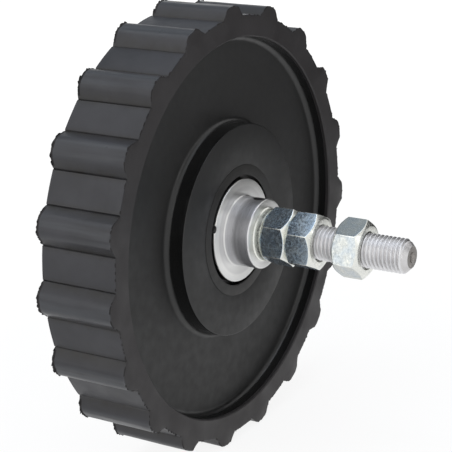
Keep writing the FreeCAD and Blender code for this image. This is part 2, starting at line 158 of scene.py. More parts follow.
def spots(tree, where, scale, detail=3.0, roughness=0.5):
    # noise, most of it between 0.3 and 0.7
    sockets = {"Vector": where, "Scale": scale, "Detail": detail, "Roughness": roughness}
    return addNode(tree, "ShaderNodeTexNoise", sockets).outputs["Fac"]


def rings(tree, path, scale, detail):
    # noise along one number, the same all round the axle
    sockets = {"W": path, "Scale": scale, "Detail": detail}
    return addNode(tree, "ShaderNodeTexNoise", sockets, noise_dimensions="1D").outputs["Fac"]


def spread(tree, value, low, high, newLow=0.0, newHigh=1.0):
    sockets = {"Value": value, "From Min": low, "From Max": high, "To Min": newLow, "To Max": newHigh}
    return addNode(tree, "ShaderNodeMapRange", sockets).outputs[0]


def blendColours(tree, factor, first, second):
    sockets = {0: factor, 6: first if isinstance(first, bpy.types.NodeSocket) else (*first, 1),
               7: second if isinstance(second, bpy.types.NodeSocket) else (*second, 1)}
    return addNode(tree, "ShaderNodeMix", sockets, data_type="RGBA").outputs[2]


def bumps(tree, height, depth, below=None):
    sockets = {"Height": height, "Distance": depth * mm, "Strength": 1.0}
    if below:
        sockets["Normal"] = below
    return addNode(tree, "ShaderNodeBump", sockets).outputs[0]


def unevenGloss(tree, where, scale, gloss, less=0.05, more=0.1):
    return spread(tree, spots(tree, where, scale, 2), 0.3, 0.7, gloss - less, gloss + more)


def splitPlace(tree, where):
    return addNode(tree, "ShaderNodeSeparateXYZ", {0: where}).outputs


def distanceFromAxle(tree, parts):
    flat = addNode(tree, "ShaderNodeCombineXYZ", {0: parts[0], 2: parts[2]}).outputs[0]
    return addNode(tree, "ShaderNodeVectorMath", {0: flat}, operation="LENGTH").outputs["Value"]


def newFinish(name, metallic=0.0, specular=0.5):
    finish = bpy.data.materials.new(name)
    finish.use_nodes = True
    tree = finish.node_tree
    shader = tree.nodes["Principled BSDF"]
    shader.inputs["Metallic"].default_value = metallic
    shader.inputs["Specular IOR Level"].default_value = specular
    where = addNode(tree, "ShaderNodeTexCoord").outputs["Object"]
    return finish, tree, shader, where


def dress(tree, shader, colour, roughness, normal):
    tree.links.new(colour, shader.inputs["Base Color"])
    tree.links.new(roughness, shader.inputs["Roughness"])
    tree.links.new(normal, shader.inputs["Normal"])


def plainFinish(name, first, second, gloss, scale, metallic=0.0, specular=0.5, depth=0.01):
    finish, tree, shader, where = newFinish(name, metallic, specular)
    cloudy = spots(tree, where, scale, 4)
    colour = blendColours(tree, spread(tree, cloudy, 0.3, 0.7), first, second)
    roughness = unevenGloss(tree, where, scale * 3, gloss)
    dress(tree, shader, colour, roughness, bumps(tree, spots(tree, where, scale * 6, 2), depth))
    return finish


# Tyre: straight ribs across a plain tread, torn flash along the ends of the ribs

# crest: painted highlight and sheen on the rib crests, partly rubbed wear; foot: painted shade along the
# ribs' feet, brownish
rubber = {"tread": (0.027, 0.027, 0.031), "treadDusty": (0.041, 0.041, 0.047), "treadGloss": 0.38,
          "side": (0.029, 0.026, 0.027), "sideDusty": (0.040, 0.037, 0.038), "sideGloss": 0.52,
          "torn": (0.005, 0.005, 0.005), "tornGloss": 0.7, "shine": 0.4, "crest": (0.053, 0.056, 0.063),
          "crestFrom": 103.5, "crestFull": 104.9, "crestPolish": 0.08, "foot": (0.019, 0.017, 0.014),
          "footReach": 3.2, "clouds": 38, "smears": 160, "smearShade": 0.7, "glossSpots": 90, "streaks": 330,
          "streakStretch": 0.06, "grain": 1500, "grainDepth": 0.03, "swells": 120, "swellDepth": 0.12}


def rubberFinish(name, plain, dusty, gloss, worn=False):
    finish, tree, shader, where = newFinish(name, specular=rubber["shine"])
    cloudy = spots(tree, where, rubber["clouds"], 4)
    smeared = spots(tree, where, rubber["smears"], 3, 0.6)
    colour = blendColours(tree, spread(tree, cloudy, 0.35, 0.65), plain, dusty)
    shaded = tuple(shade * rubber["smearShade"] for shade in plain)
    colour = blendColours(tree, spread(tree, smeared, 0.55, 0.8, 0, 0.35), colour, shaded)
    roughness = unevenGloss(tree, where, rubber["glossSpots"], gloss)
    if worn:
        # crests lighter and bluish, partly rubbed wear and partly a painted highlight, and smoother; painted
        # shade, brownish, by the ribs' feet; faint marks along the axle
        parts = splitPlace(tree, where)
        radius = distanceFromAxle(tree, parts)
        drawn = {0: parts[0], 1: calc(tree, "MULTIPLY", parts[1], rubber["streakStretch"]), 2: parts[2]}
        streaks = spots(tree, addNode(tree, "ShaderNodeCombineXYZ", drawn).outputs[0], rubber["streaks"], 3)
        # painted highlight: a lighter, bluish band on the rib crests, partly rubbed wear
        crest = spread(tree, radius, rubber["crestFrom"] * mm, rubber["crestFull"] * mm)
        crestSheenAndWear = calc(tree, "MULTIPLY", crest, spread(tree, streaks, 0.35, 0.62))
        colour = blendColours(tree, crestSheenAndWear, colour, rubber["crest"])
        # painted shade: a darker, brownish band along the ribs' feet
        foot = addNode(tree, "ShaderNodeAttribute", attribute_name="footGap").outputs["Fac"]
        footShade = spread(tree, foot, 0.0, rubber["footReach"], 0.8, 0.0)
        footShadeAmount = calc(tree, "MULTIPLY", footShade, spread(tree, smeared, 0.3, 0.6, 0.4, 1.0))
        colour = blendColours(tree, footShadeAmount, colour, rubber["foot"])
        roughness = calc(tree, "SUBTRACT", roughness, calc(tree, "MULTIPLY", crestSheenAndWear, rubber["crestPolish"]))
    grain = bumps(tree, spots(tree, where, rubber["grain"], 2), rubber["grainDepth"])
    wavy = bumps(tree, spots(tree, where, rubber["swells"], 1), rubber["swellDepth"], grain)
    dress(tree, shader, colour, roughness, wavy)
    return finish


treadRubber = rubberFinish("treadRubber", rubber["tread"], rubber["treadDusty"], rubber["treadGloss"], True)
sideRubber = rubberFinish("sideRubber", rubber["side"], rubber["sideDusty"], rubber["sideGloss"])
tornRubber = rubberFinish("tornRubber", rubber["torn"], rubber["side"], rubber["tornGloss"])

tyre = {"tread": 100.0, "ribHeight": 5.0, "ribRoot": 16.8, "ribCrest": 7.6, "ribs": 19, "crestRounding": 2.3,
        "grooveWidth": 0.8, "grooveDepth": 0.45, "ribToe": 0.1, "halfWidth": 19.0, "rimFace": 17.0,
        "bore": 90.0, "rim": 95.0, "beadEdge": 0.5, "sideRings": (98.6, 94.0), "edge": 0.35, "rearEdge": 1.0,
        "rows": 24, "flash": 1.1, "flashRipples": 75, "flashTeeth": 170, "toothShare": 0.8, "rearFlash": 0.35,
        "frontGaps": (0.15, 0.22), "gapsGrowAt": 2.6, "cornerLip": 0.45, "cornerHeight": 3.7,
        "cornerReach": 1.5, "rearLip": 0.1, "lipFoot": 0.25, "waves": 0.12, "waveScales": (60, 230, 90)}


def ribOutline():
    # one pitch of the tread as a wire, its corners rounded, then repeated round the axle
    bm = bmesh.new()
    pitch = math.tau / tyre["ribs"]
    root = math.asin(tyre["ribRoot"] / 2 / tyre["tread"])
    top = tyre["tread"] + tyre["ribHeight"]
    crest = math.atan(tyre["ribCrest"] / 2 / top)
    crestRadius = math.hypot(top, tyre["ribCrest"] / 2)
    groove = tyre["grooveWidth"] / tyre["tread"]
    deep = tyre["tread"] - tyre["grooveDepth"]
    toe = tyre["tread"] + tyre["ribToe"]
    marks = [(tyre["tread"], -pitch / 2), (tyre["tread"], -root - groove), (deep, -root - groove / 3)]
    marks += [(toe, -root), (crestRadius, -crest), (crestRadius, crest), (toe, root)]
    marks += [(deep, root + groove / 3), (tyre["tread"], root + groove), (tyre["tread"], pitch / 2)]
    verts = [bm.verts.new(onAxle(radius, angle, 0)) for radius, angle in marks]
    for pair in zip(verts, verts[1:]):
        bm.edges.new(pair)
    bmesh.ops.bevel(bm, geom=verts[4:6], offset=tyre["crestRounding"] * mm, segments=6, profile=0.5,
                    affect="VERTICES", material=-1)
    for longest, cuts in ((5.5, 5), (2.2, 3), (1.0, 1)):
        long = [edge for edge in bm.edges if edge.calc_length() > longest * mm]
        bmesh.ops.subdivide_edges(bm, edges=long, cuts=cuts)
    for vert in bm.verts:
        angle = whereIs(vert)[1]
        if abs(angle) > root + groove:
            vert.co = onAxle(tyre["tread"], angle, 0)
    # first rib half a pitch from the bottom, so that the wheel stands on two
    swing(bm, bm.verts[:], (pitch - math.pi) / 2)
    geometry = bm.verts[:] + bm.edges[:]
    for turn in range(1, tyre["ribs"]):
        copied = bmesh.ops.duplicate(bm, geom=geometry)["geom"]
        swing(bm, cornersIn(copied), -pitch * turn)
    weld(bm, 0.01)
    return bm


def flashAt(vert, radius, side):
    # ragged lip left by the mould: all along the ribs' ends behind, in places in front
    angle = whereIs(vert)[1]
    height = radius - tyre["tread"]
    ragged = noise.noise(Vector((math.cos(angle), math.sin(angle), side)) * tyre["flashRipples"])
    teeth = noise.noise(Vector((math.cos(angle), math.sin(angle), side * 3)) * tyre["flashTeeth"])
    teeth *= tyre["toothShare"]
    if side > 0:
        return tyre["flash"] * max(0.0, tyre["rearFlash"] + ragged + teeth) if height > 0.4 else 0.05
    # the front lip stands a little proud of the crests' rounded corners, and has more gaps up there
    nearCorner = max(0.0, 1 - abs(height - tyre["cornerHeight"]) / tyre["cornerReach"])
    gaps = tyre["frontGaps"][0] if height < tyre["gapsGrowAt"] else tyre["frontGaps"][1]
    return tyre["cornerLip"] * nearCorner * (0.7 + ragged) + tyre["flash"] * max(0.0, ragged + teeth - gaps)


def makeTyre():
    bm = ribOutline()
    half, edge, rimFace = tyre["halfWidth"], tyre["edge"], tyre["rimFace"]
    bore, bead = tyre["bore"], tyre["beadEdge"]
    outerRing, innerRing = tyre["sideRings"]
    start = half - tyre["rearEdge"]
    rib = bm.verts.layers.float.new("ribRadius")
    foot = bm.verts.layers.float.new("footGap")
    pitch = math.tau / tyre["ribs"]
    for vert in bm.verts:
        radius, angle, along = whereIs(vert)
        fromRib = abs((angle - math.pi / 2) % pitch - pitch / 2) * tyre["tread"]
        vert[rib] = radius
        vert[foot] = abs(fromRib - tyre["ribRoot"] / 2)
        vert.co.y = start * mm
    loop = bm.edges[:]
    for row in range(1, tyre["rows"] + 1):
        loop = growLoop(bm, loop, lambda v: (v[rib], start * (1 - 2 * row / tyre["rows"])))
    loop = growLoop(bm, loop, lambda v: (v[rib], -half + edge))
    loop = growLoop(bm, loop, lambda v: (v[rib] + flashAt(v, v[rib], -1), -half + edge / 3))
    loop = growLoop(bm, loop, lambda v: (v[rib] - edge * 1.2, -half))
    # in over the front side, round the rim's seat and out again over the rear side
    for radius, along in ((outerRing, -half), (innerRing, -half), (bore + bead, -half), (bore, -half + bead),
                          (bore, -rimFace), (tyre["rim"], -rimFace), (tyre["rim"], rimFace), (bore, rimFace),
                          (bore, half - bead), (bore + bead, half), (innerRing, half), (outerRing, half)):
        loop = growLoop(bm, loop, lambda v: (radius, along))
    # back out to the rear edge and over it, onto the loop that it began with
    loop = growLoop(bm, loop, lambda v: (v[rib] - edge, half))
    loop = growLoop(bm, loop, lambda v: (v[rib] + flashAt(v, v[rib], 1), half + tyre["rearLip"]))
    loop = growLoop(bm, loop, lambda v: (v[rib] - 0.05, half - tyre["lipFoot"]))
    growLoop(bm, loop, lambda v: (v[rib], start))
    weld(bm)
    # sides and bore are plain rubber, the flash behind and its longer teeth in front are torn
    for face in bm.faces:
        height = min(whereIs(vert)[0] for vert in face.verts) - tyre["tread"]
        middle = face.calc_center_median().y / mm
        if abs(middle) > half - 0.02 or height < -1.3:
            face.material_index = 1
        elif middle > half - 0.9 and height > 0.6:
            face.material_index = 2
        elif middle < edge - half and max(flashAt(vert, vert[rib], -1) for vert in face.verts) > 0.15:
            face.material_index = 2
    # the tread isn't quite even: it swells in and out and sways along the axle
    waves = tyre["waves"]
    broad, fine, sideways = tyre["waveScales"]
    for vert in bm.verts:
        radius, angle, along = whereIs(vert)
        if radius > tyre["tread"] - 0.5:
            swell = noise.noise(vert.co * broad) * waves + noise.noise(vert.co * fine) * waves * 0.4
            sway = noise.noise(vert.co * sideways) * waves * 0.6
            vert.co = onAxle(radius + swell, angle, along + sway)
    finishes = [treadRubber, sideRubber, tornRubber]
    finishPiece(bm, "ribbedTyre", "roller", "rubber_tyre", finishes, 28)


makeTyre()

# Wheel disc, dished on both sides, and the bearing sleeve in its boss, both painted

disc = {"rimFace": 17.0, "rim": 95.0, "dish": 90.0, "web": 11.1, "boss": 50.0, "bossFront": 20.1,
        "bossRear": 19.0, "fillet": 2.8, "bossEdge": 0.35, "joint": 0.12, "steps": 160}
sleeve = {"outside": 31.0, "front": -20.25, "rear": 19.0, "edge": 0.12, "bore": 26.0, "lead": 0.27,
          "ringsFront": -14.0, "ringsRear": 16.0, "opening": 23.0, "groove": 27.5, "grooveFront": -16.15,
          "steps": 160}
iron = {"paint": (0.006, 0.006, 0.006), "sleeve": (0.010, 0.009, 0.008), "worn": (0.011, 0.011, 0.011),
        "dust": (0.06, 0.058, 0.055), "dustSpecks": 2600, "clouds": 30, "shine": 0.53, "gloss": 0.36,
        "glossSpots": 200, "matt": 0.21, "wallGloss": 0.18, "peel": 700, "peelDepth": 0.02}


def flatness(tree, where):
    # 1 on the flat faces, 0 on the walls, in between on the fillets, told from the place along the axle
    along = splitPlace(tree, where)[1]
    web, fillet, edge = disc["web"] * mm, disc["fillet"] * mm, disc["bossEdge"] * mm
    front, rear = disc["bossFront"] * mm, disc["bossRear"] * mm
    onWeb = spread(tree, calc(tree, "ABSOLUTE", along), web, web + fillet, 1.0, 0.0)
    onFront = spread(tree, along, -front, edge - front, 1.0, 0.0)
    onRear = spread(tree, along, rear - edge, rear)
    return calc(tree, "MAXIMUM", onWeb, calc(tree, "MAXIMUM", onFront, onRear))


def paintFinish(name, plain):
    finish, tree, shader, where = newFinish(name, specular=iron["shine"])
    cloudy = spots(tree, where, iron["clouds"], 3)
    specks = spots(tree, where, iron["dustSpecks"], 2, 0.7)
    colour = blendColours(tree, spread(tree, cloudy, 0.35, 0.7), plain, iron["worn"])
    colour = blendColours(tree, spread(tree, specks, 0.66, 0.8, 0, 0.5), colour, iron["dust"])
    # matt on the flat faces, glossier in the fillets and glossiest on the walls
    flat = flatness(tree, where)
    matt = spread(tree, flat, 0.92, 0.995, 0.0, iron["matt"])
    matt = calc(tree, "ADD", matt, spread(tree, flat, 0.05, 0.5, -iron["wallGloss"], 0.0))
    uneven = unevenGloss(tree, where, iron["glossSpots"], iron["gloss"], 0.04, 0.06)
    peel = bumps(tree, spots(tree, where, iron["peel"], 2), iron["peelDepth"])
    dress(tree, shader, colour, calc(tree, "ADD", matt, uneven), peel)
    return finish


ironPaint = paintFinish("ironPaint", iron["paint"])
sleevePaint = paintFinish("sleevePaint", iron["sleeve"])


def discSide(bossFace, side):
    corners = [(sleeve["outside"], bossFace, disc["joint"]), (disc["boss"], bossFace, disc["bossEdge"]),
               (disc["boss"], disc["web"], disc["fillet"]), (disc["dish"], disc["web"], disc["fillet"]),
               (disc["dish"], disc["rimFace"], 0.0), (disc["rim"], disc["rimFace"], 0.0)]
    return [(radius, side * along, rounding) for radius, along, rounding in corners]


def makeDisc():
    bm = turnedShape(discSide(disc["bossRear"], 1) + discSide(disc["bossFront"], -1)[::-1], disc["steps"])
    finishPiece(bm, "dishedDisc", "roller", "wheel_disc", [ironPaint])


def makeSleeve():
    # its mouth stands a little proud and frames the spacer's flange
    outside, bore, edge, lead = sleeve["outside"], sleeve["bore"], sleeve["edge"], sleeve["lead"]
    profile = [(bore + lead, sleeve["front"], 0.0), (outside, sleeve["front"], edge),
               (outside, sleeve["rear"], edge), (sleeve["opening"], sleeve["rear"], edge),
               (sleeve["opening"], sleeve["ringsRear"], 0.0), (bore, sleeve["ringsRear"], 0.0),
               (bore, sleeve["ringsFront"], 0.0), (sleeve["groove"], sleeve["ringsFront"], 0.0),
               (sleeve["groove"], sleeve["grooveFront"], 0.0), (bore, sleeve["grooveFront"], 0.0),
               (bore, sleeve["front"] + lead, 0.0)]
    bm = turnedShape(profile, sleeve["steps"])
    finishPiece(bm, "bearingSleeve", "roller", "hub_sleeve", [sleevePaint])


makeDisc()
makeSleeve()

# Flanged spacer: turned steel, long neck, radial hole, a small nick in its edge

# face and neck: bright colour, dull colour, gloss, how far the tool marks stretch a highlight
turned = {"face": ((0.80, 0.80, 0.785), (0.68, 0.68, 0.675), 0.34, 0.93),
          "neck": ((0.67, 0.67, 0.70), (0.50, 0.50, 0.52), 0.30, 0.5),
          "toolMarks": 5200, "bands": 420, "streaks": 60, "markDepth": 0.001, "stretchTurn": 0.25}


def turnedFinish(name, bright, dull, gloss, stretch):
    # tool marks run round the axle, on faces and on cylinders
    finish, tree, shader, where = newFinish(name, metallic=1.0)
    parts = splitPlace(tree, where)
    path = calc(tree, "ADD", distanceFromAxle(tree, parts), parts[1])
    marks = rings(tree, path, turned["toolMarks"], 3)
    bands = rings(tree, path, turned["bands"], 2)
    streaky = spots(tree, where, turned["streaks"], 3)
    colour = blendColours(tree, spread(tree, bands, 0.3, 0.7), dull, bright)
    colour = blendColours(tree, spread(tree, streaky, 0.4, 0.75, 0, 0.4), colour, dull)
    roughness = spread(tree, marks, 0.25, 0.75, gloss - 0.06, gloss + 0.1)
    dress(tree, shader, colour, roughness, bumps(tree, marks, turned["markDepth"]))
    cross = {0: where, 1: (0, 1, 0)}
    around = addNode(tree, "ShaderNodeVectorMath", cross, operation="CROSS_PRODUCT").outputs[0]
    inWorld = addNode(tree, "ShaderNodeVectorTransform", {0: around}, vector_type="VECTOR",
                      convert_from="OBJECT", convert_to="WORLD").outputs[0]
    tree.links.new(inWorld, shader.inputs["Tangent"])
    shader.inputs["Anisotropic"].default_value = stretch
    shader.inputs["Anisotropic Rotation"].default_value = turned["stretchTurn"]
    return finish


turnedSteel = turnedFinish("turnedSteel", *turned["face"])
neckSteel = turnedFinish("neckSteel", *turned["neck"])
# shadySteel: painted dark reflection on the flange's edge and painted shade in the hole; scoopSteel: painted
# shade in the nick
shadySteel = plainFinish("shadySteel", (0.16, 0.16, 0.16), (0.08, 0.08, 0.08), 0.4, 500, metallic=1.0)
scoopSteel = plainFinish("scoopSteel", (0.34, 0.34, 0.34), (0.26, 0.26, 0.26), 0.45, 500, metallic=1.0)

spacer = {"bore": 8.3, "neckFront": -33.6, "neck": 16.3, "neckEdge": 0.7, "flangeFront": -20.8,
          "flange": 24.35, "flangeEdge": 0.55, "flangeRear": -17.0, "edge": 0.3, "land": 14.0,
          "landRear": -14.0, "pilot": 10.1, "pilotFloor": -17.5, "neckFoot": 0.5, "holeRadius": 2.6,
          "holeAlong": -29.5, "holeAngle": 85.5, "holeLength": 39.12, "nickAngle": 163.5, "nickDepth": 0.9,
          "nickRadius": 2.4, "nickAlong": -20.0, "nickLength": 12.0, "steps": 192}


def roundCutter(radius, length, sides, place):
    bm = bmesh.new()
    bmesh.ops.create_cone(bm, cap_ends=True, segments=sides, radius1=radius * mm, radius2=radius * mm,
                          depth=length * mm, matrix=place)
    return bm


def cutNick(bm):
    # a scoop along the axle, out of the flange's edge
    alongAxle = Matrix.Rotation(math.pi / 2, 4, "X")
    nick = roundCutter(spacer["nickRadius"], spacer["nickLength"], 20, alongAxle)
    middle = spacer["flange"] - spacer["nickDepth"] + spacer["nickRadius"]
    bmesh.ops.translate(nick, verts=nick.verts[:], vec=(middle * mm, spacer["nickAlong"] * mm, 0))
    swing(nick, nick.verts[:], math.radians(spacer["nickAngle"]))
    return cutAway(bm, nick)


def drillHole(bm):
    # right across the neck, its upper mouth at holeAngle
    upright = Matrix.Translation((0, spacer["holeAlong"] * mm, 0))
    drill = roundCutter(spacer["holeRadius"], spacer["holeLength"], 40, upright)
    swing(drill, drill.verts[:], math.radians(spacer["holeAngle"] - 90))
    return cutAway(bm, drill)


def makeSpacer():
    bore, neck, flange, land = spacer["bore"], spacer["neck"], spacer["flange"], spacer["land"]
    profile = [(bore, spacer["neckFront"], spacer["edge"]), (neck, spacer["neckFront"], spacer["neckEdge"]),
               (neck, spacer["flangeFront"] - spacer["neckFoot"], 0.0),
               (neck + spacer["neckFoot"], spacer["flangeFront"], 0.0),
               (flange, spacer["flangeFront"], spacer["flangeEdge"]),
               (flange, spacer["flangeRear"], spacer["edge"]), (land, spacer["flangeRear"], 0.0),
               (land, spacer["landRear"], 0.0), (spacer["pilot"], spacer["landRear"], 0.0),
               (spacer["pilot"], spacer["pilotFloor"], 0.0), (bore, spacer["pilotFloor"], 0.0)]
    bm = drillHole(cutNick(turnedShape(profile, spacer["steps"])))
    bmesh.ops.recalc_face_normals(bm, faces=bm.faces[:])
    # the neck is duller; the flange's edge is dark as a painted reflection, the hole dark as painted shade,
    # the nick grey as painted shade
    acrossHole = onAxle(1, math.radians(spacer["holeAngle"] - 90), 0).normalized()
    for face in bm.faces:
        middle = face.calc_center_median()
        radius = math.hypot(middle.x, middle.z) / mm
        across = middle.dot(acrossHole)
        inHole = math.hypot(across, middle.y - spacer["holeAlong"] * mm) < (spacer["holeRadius"] + 0.05) * mm
        upright = abs(face.normal.y) < 0.3
        onRimWall = radius > flange - spacer["nickDepth"] - 0.2 and upright
        if onRimWall and radius < flange - 0.06:
            face.material_index = 3
        elif onRimWall or inHole and radius < neck - 0.1:
            face.material_index = 2
        elif radius < neck + 0.1 and upright:
            face.material_index = 1
    finishes = [turnedSteel, neckSteel, shadySteel, scoopSteel]
    finishPiece(bm, "turnedSpacer", "axle", "flanged_spacer", finishes)


makeSpacer()

# Stub axle: real thread, chamfered tip with a centre hole, plain journal and collar behind

# rootShade is painted shade, the colour the bottom of the thread is darkened to
thread = {"bright": (0.80, 0.80, 0.81), "dull": (0.70, 0.70, 0.72), "rootShade": (0.60, 0.59, 0.59),
          "gloss": 0.42, "rootShadeFull": 6.9, "rootShadeEnd": 7.7, "clouds": 500, "rootShadeSpots": 240,
          "glossSpots": 1500, "grain": 3000, "grainDepth": 0.003}


def threadFinish(name):
    # painted shade: the bottom of the thread is darkened, in patches, so the crests look brighter
    finish, tree, shader, where = newFinish(name, metallic=1.0)
    radius = distanceFromAxle(tree, splitPlace(tree, where))
    cloudy = spots(tree, where, thread["clouds"], 4)
    colour = blendColours(tree, spread(tree, cloudy, 0.3, 0.7), thread["bright"], thread["dull"])
    # painted shade towards the thread's root
    valley = spread(tree, radius, thread["rootShadeFull"] * mm, thread["rootShadeEnd"] * mm, 1.0, 0.0)
    patchy = spread(tree, spots(tree, where, thread["rootShadeSpots"], 3), 0.3, 0.6, 0.6, 1.0)
    colour = blendColours(tree, calc(tree, "MULTIPLY", valley, patchy), colour, thread["rootShade"])
    roughness = unevenGloss(tree, where, thread["glossSpots"], thread["gloss"])
    grain = spots(tree, where, thread["grain"], 2)
    dress(tree, shader, colour, roughness, bumps(tree, grain, thread["grainDepth"]))
    return finish


threadSteel = threadFinish("threadSteel")
endSteel = plainFinish("endSteel", (0.36, 0.34, 0.32), (0.24, 0.23, 0.22), 0.42, 700, metallic=1.0,
                       depth=0.004)

stud = {"crest": 8.0, "root": 6.8, "pitch": 2.0, "crestFlat": 0.3, "threadRear": -22.5, "tip": -108.0,
        "chamfer": 3.0, "relief": 6.7, "journal": 10.0, "journalFront": -17.0, "collarFront": 16.0,
        "collar": 14.0, "collarRear": 19.5, "edge": 0.8, "centreMouth": 2.6, "centrePilot": 1.0,
        "centreDepth": 5.0, "sides": 48, "softening": ((0.05, 0.5), (0.2, 0.8))}


def threadWire():
    # one pitch of the thread's profile, crests and roots a little rounded
    pitch, flat, deep, high = stud["pitch"], stud["crestFlat"], stud["root"], stud["crest"]
    rise = [(deep, 0.0)] + [(deep + up, flat * share) for up, share in stud["softening"]]
    rise += [(high - down, pitch / 2 - flat * share) for down, share in reversed(stud["softening"])]
    fall = [(radius, pitch - along) for radius, along in reversed(rise)]
    return rise + [(high, pitch / 2)] + fall


def makeStud():
    bm = bmesh.new()
    pitch, tip = stud["pitch"], stud["tip"]
    turns = math.ceil((stud["threadRear"] - tip) / pitch) + 2
    start = tip - pitch * 1.5
    verts = [bm.verts.new(onAxle(radius, 0, start + along)) for radius, along in threadWire()]
    edges = [bm.edges.new(pair) for pair in zip(verts, verts[1:])]
    bmesh.ops.spin(bm, geom=verts + edges, cent=(0, 0, 0), axis=(0, 1, 0), steps=stud["sides"],
                   dvec=(0, pitch * mm / stud["sides"], 0), angle=math.tau, use_merge=False)
    oneTurn = bm.verts[:] + bm.edges[:] + bm.faces[:]
    for turn in range(1, turns):
        copied = bmesh.ops.duplicate(bm, geom=oneTurn)["geom"]
        bmesh.ops.translate(bm, verts=cornersIn(copied), vec=(0, pitch * turn * mm, 0))
    weld(bm, 0.02)
    # a cone at the tip, then both ends cut off square
    for vert in bm.verts:
        radius, angle, along = whereIs(vert)
        coneRadius = stud["crest"] - stud["chamfer"] + (along - tip)
        if radius > coneRadius > 0:
            vert.co = onAxle(coneRadius, angle, along)
    for place, outward in ((tip, -1), (stud["threadRear"], 1)):
        bmesh.ops.bisect_plane(bm, geom=bm.verts[:] + bm.edges[:] + bm.faces[:], dist=1e-7,
                               plane_co=(0, place * mm, 0), plane_no=(0, outward, 0), clear_outer=True)
    rims = [edge for edge in bm.edges if edge.is_boundary]
    middle = (tip + stud["threadRear"]) / 2 * mm
    front = [edge for edge in rims if edge.verts[0].co.y < middle]
    rear = [edge for edge in rims if edge.verts[0].co.y > middle]
    mouth, pilot = stud["centreMouth"], stud["centrePilot"]
    # the centre hole's cone is 60 degrees wide
    coneEnd = tip + (mouth - pilot) * 1.73
    for radius, along in ((mouth, tip), (pilot, coneEnd), (pilot, tip + stud["centreDepth"])):
        front = growLoop(bm, front, lambda v: (radius, along))
    bmesh.ops.holes_fill(bm, edges=front)
    journal, collar, edge = stud["journal"], stud["collar"], stud["edge"]
    for radius, along in ((stud["relief"], stud["threadRear"]), (stud["relief"], stud["journalFront"]),
                          (journal - edge, stud["journalFront"]), (journal, stud["journalFront"] + edge),
                          (journal, stud["collarFront"]), (collar, stud["collarFront"]),
                          (collar, stud["collarRear"] - edge), (collar - edge, stud["collarRear"])):
        rear = growLoop(bm, rear, lambda v: (radius, along))
    bmesh.ops.holes_fill(bm, edges=rear)
    for face in bm.faces:
        onTip = face.calc_center_median().y < (tip + 0.01) * mm
        if onTip or max(whereIs(vert)[0] for vert in face.verts) < stud["chamfer"]:
            face.material_index = 1
    finishPiece(bm, "threadedStud", "axle", "axle_stud", [threadSteel, endSteel])


makeStud()

# Nuts: chamfered hexagons with countersunk bores, mottled zinc on their flats

# edge: paler cream zinc, a painted highlight on chamfers, corners and the washer's raised edge
zinc = {"nut": ((0.48, 0.60, 0.72), (0.60, 0.69, 0.75), (0.29, 0.37, 0.46)),
        "clamp": ((0.60, 0.605, 0.56), (0.50, 0.54, 0.555), (0.33, 0.40, 0.47)),
        "edge": ((0.80, 0.81, 0.76), (0.86, 0.86, 0.80), (0.62, 0.66, 0.68)),
        "cap": ((0.52, 0.56, 0.60), (0.62, 0.64, 0.64), (0.46, 0.51, 0.56)),
        "gloss": 0.19, "edgeGloss": 0.26, "capGloss": 0.36, "metallic": 0.96, "mottle": 820, "clouds": 260,
        "grain": 900, "grainDepth": 0.0025}


def zincFinish(name, shades, gloss):
    first, second, dark = shades
    finish, tree, shader, where = newFinish(name, metallic=zinc["metallic"])
    mottle = spots(tree, where, zinc["mottle"], 5, 0.65)
    clouds = spots(tree, where, zinc["clouds"], 3)
    colour = blendColours(tree, spread(tree, clouds, 0.35, 0.65), first, second)
    colour = blendColours(tree, spread(tree, mottle, 0.36, 0.7, 0, 0.4), colour, dark)
    roughness = spread(tree, mottle, 0.3, 0.7, gloss - 0.06, gloss + 0.16)
    grain = spots(tree, where, zinc["grain"], 3, 0.6)
    dress(tree, shader, colour, roughness, bumps(tree, grain, zinc["grainDepth"]))
    return finish


nutZinc = zincFinish("nutZinc", zinc["nut"], zinc["gloss"])
clampZinc = zincFinish("clampZinc", zinc["clamp"], zinc["gloss"])
highlightZinc = zincFinish("highlightZinc", zinc["edge"], zinc["edgeGloss"])

# places are (name, body, rear face along the axle, turn), one for each node
nuts = {"flats": 24.0, "height": 13.0, "face": 11.1, "rearFace": 11.6, "chamfer": 36.0, "bore": 8.05,
        "countersink": 0.9, "softCorner": 0.26, "sides": 96,
        "places": {"bearing_nut": ("bearingNut", "axle", -37.1, 27.3),
                   "seat_nut": ("seatNut", "axle", -50.1, 34.3),
                   "clamp_nut": ("clampNut", "outer_clamp_nut", -73.7, 19.3)}}


